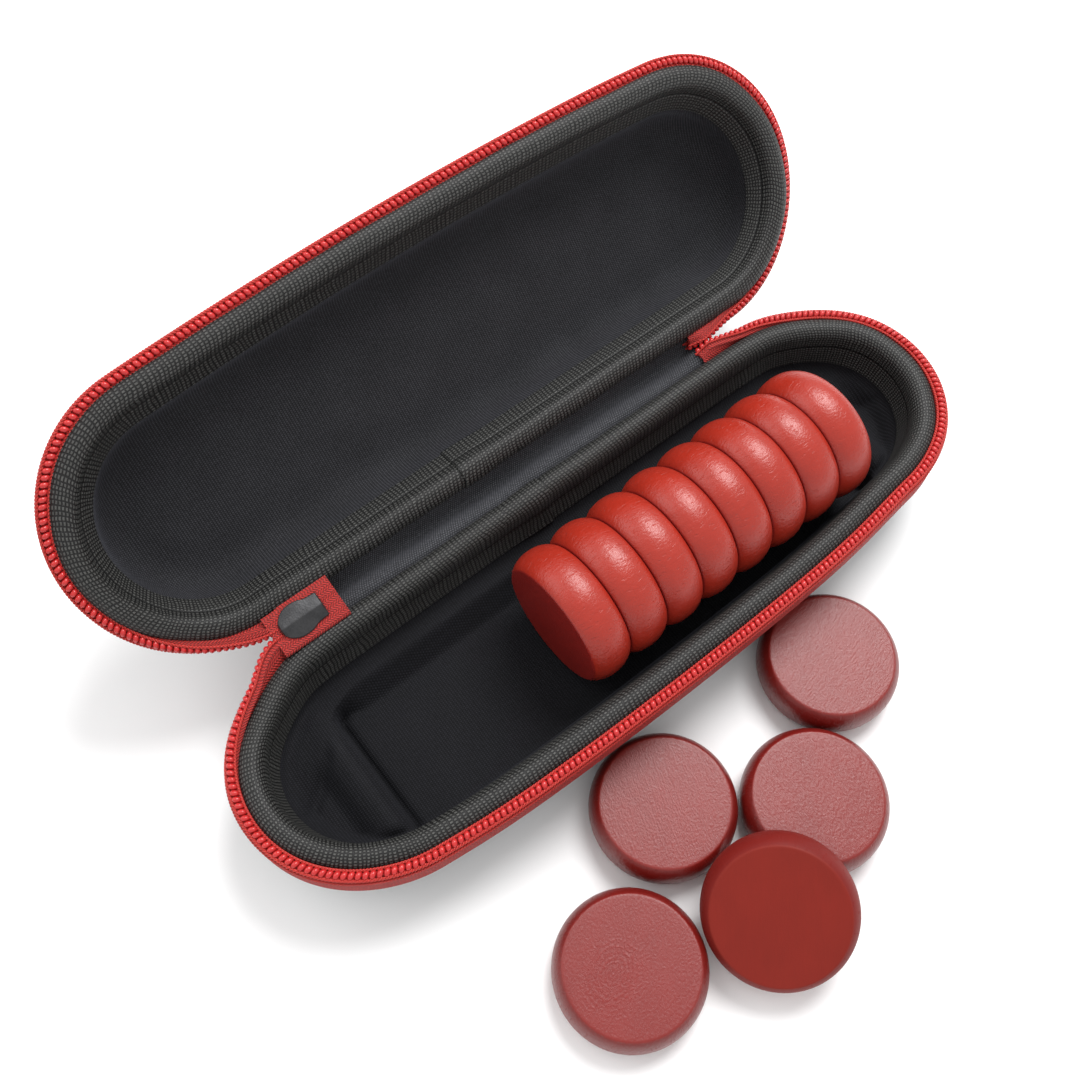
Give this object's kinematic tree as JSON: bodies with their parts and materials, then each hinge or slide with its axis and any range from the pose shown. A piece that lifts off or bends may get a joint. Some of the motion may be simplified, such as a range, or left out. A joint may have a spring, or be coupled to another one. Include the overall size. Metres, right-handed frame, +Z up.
{
  "type": "crokinole disc set in a zipped hard case",
  "caption": "Round-ended zipped hard case, lying open on its fabric hinge, with turned red wooden game discs standing on edge in its trough and more lying beside it.",
  "frame": {"origin": "on the resting surface, under the middle of the case base", "axes": "+X along the case, away from the slider's end; +Y towards the fabric hinge; +Z up"},
  "size_m": [0.189, 0.1718, 0.0711],
  "materials": {
    "shell_fabric": "woven, matte",
    "eva_foam": "moulded foam, matte",
    "lining_knit": "fine knit, matte",
    "binding_grosgrain": "ribbed weave, matte",
    "zip_red": "woven and coiled nylon, satin",
    "gusset_knit": "knit, matte",
    "gunmetal": "plated, satin",
    "red_lacquer": "stained wood, gloss lacquer"
  },
  "bodies": {
    "case_base": {"base_outer_cover": "shell_fabric", "base_foam_shell": "eva_foam", "base_lining": "lining_knit", "base_rim_binding": "binding_grosgrain", "base_zipper_tape": "zip_red", "base_zipper_coil": "zip_red", "hinge_gusset": "gusset_knit"},
    "case_lid": {"lid_outer_cover": "shell_fabric", "lid_foam_shell": "eva_foam", "lid_lining": "lining_knit", "lid_rim_binding": "binding_grosgrain", "lid_zipper_tape": "zip_red", "lid_zipper_coil": "zip_red"},
    "zipper_end": {"zipper_end_tape": "zip_red", "zipper_end_coil": "zip_red"},
    "zipper_slider": {"zipper_slider_body": "gunmetal", "zipper_slider_crown": "gunmetal"},
    "pull_tab": {"zipper_pull_tab": "gunmetal"},
    "loose_disc_01": {"disc_01": "red_lacquer"},
    "loose_disc_02": {"disc_02": "red_lacquer"},
    "loose_disc_03": {"disc_03": "red_lacquer"},
    "loose_disc_04": {"disc_04": "red_lacquer"},
    "loose_disc_05": {"disc_05": "red_lacquer"},
    "loose_disc_06": {"disc_06": "red_lacquer"},
    "loose_disc_07": {"disc_07": "red_lacquer"},
    "loose_disc_08": {"disc_08": "red_lacquer"},
    "loose_disc_09": {"disc_09": "red_lacquer"},
    "loose_disc_10": {"disc_10": "red_lacquer"},
    "loose_disc_11": {"disc_11": "red_lacquer"},
    "loose_disc_12": {"disc_12": "red_lacquer"},
    "loose_disc_13": {"disc_13": "red_lacquer"}
  },
  "joints": [
    {"name": "lid_hinge", "type": "hinge", "parent": "case_base", "child": "case_lid", "pos_m": [0, 0.0302, 0.025], "axis": [-1, 0, 0], "range_deg": [-132, 0], "deforming": ["hinge_gusset"]},
    {"name": "zipper_end_turn", "type": "hinge", "parent": "case_base", "child": "zipper_end", "pos_m": [0, 0.0302, 0.025], "axis": [-1, 0, 0], "range_deg": [-66, 0]},
    {"name": "slider_slide", "type": "slide", "parent": "zipper_end", "child": "zipper_slider", "axis": [1, 0, 0], "range_m": [-0.003, 0]},
    {"name": "pull_swing", "type": "hinge", "parent": "zipper_slider", "child": "pull_tab", "pos_m": [-0.0602, 0.03116, 0.02285], "axis": [0, 0.9135, 0.4067], "range_deg": [-20, 90]},
    {"name": "disc_01_lift_out", "type": "slide", "parent": "case_base", "child": "loose_disc_01", "axis": [0, 0, 1], "range_m": [0, 0.045]},
    {"name": "disc_02_lift_out", "type": "slide", "parent": "case_base", "child": "loose_disc_02", "axis": [0, 0, 1], "range_m": [0, 0.045]},
    {"name": "disc_03_lift_out", "type": "slide", "parent": "case_base", "child": "loose_disc_03", "axis": [0, 0, 1], "range_m": [0, 0.045]},
    {"name": "disc_04_lift_out", "type": "slide", "parent": "case_base", "child": "loose_disc_04", "axis": [0, 0, 1], "range_m": [0, 0.045]},
    {"name": "disc_05_lift_out", "type": "slide", "parent": "case_base", "child": "loose_disc_05", "axis": [0, 0, 1], "range_m": [0, 0.045]},
    {"name": "disc_06_lift_out", "type": "slide", "parent": "case_base", "child": "loose_disc_06", "axis": [0, 0, 1], "range_m": [0, 0.045]},
    {"name": "disc_07_lift_out", "type": "slide", "parent": "case_base", "child": "loose_disc_07", "axis": [0, 0, 1], "range_m": [0, 0.045]},
    {"name": "disc_08_lift_out", "type": "slide", "parent": "case_base", "child": "loose_disc_08", "axis": [0, 0, 1], "range_m": [0, 0.045]},
    {"name": "disc_09_slide_out", "type": "slide", "parent": "case_base", "child": "loose_disc_09", "axis": [0.8, -0.6, 0], "range_m": [0, 0.03]},
    {"name": "disc_10_turn", "type": "hinge", "parent": "case_base", "child": "loose_disc_10", "pos_m": [-0.0218, -0.0447, 0.005], "axis": [0, 0, 1], "continuous": true},
    {"name": "disc_11_slide_out", "type": "slide", "parent": "case_base", "child": "loose_disc_11", "axis": [0.7071, -0.7071, 0], "range_m": [0, 0.03]},
    {"name": "disc_12_lift_out", "type": "slide", "parent": "case_base", "child": "loose_disc_12", "axis": [0, 0, 1], "range_m": [0, 0.04]},
    {"name": "disc_13_lift_out", "type": "slide", "parent": "case_base", "child": "loose_disc_13", "axis": [0, 0, 1], "range_m": [0, 0.04]}
  ],
  "couplings": [
    {"joint": "zipper_end_turn", "follows": "lid_hinge", "ratio": 0.5}
  ]
}
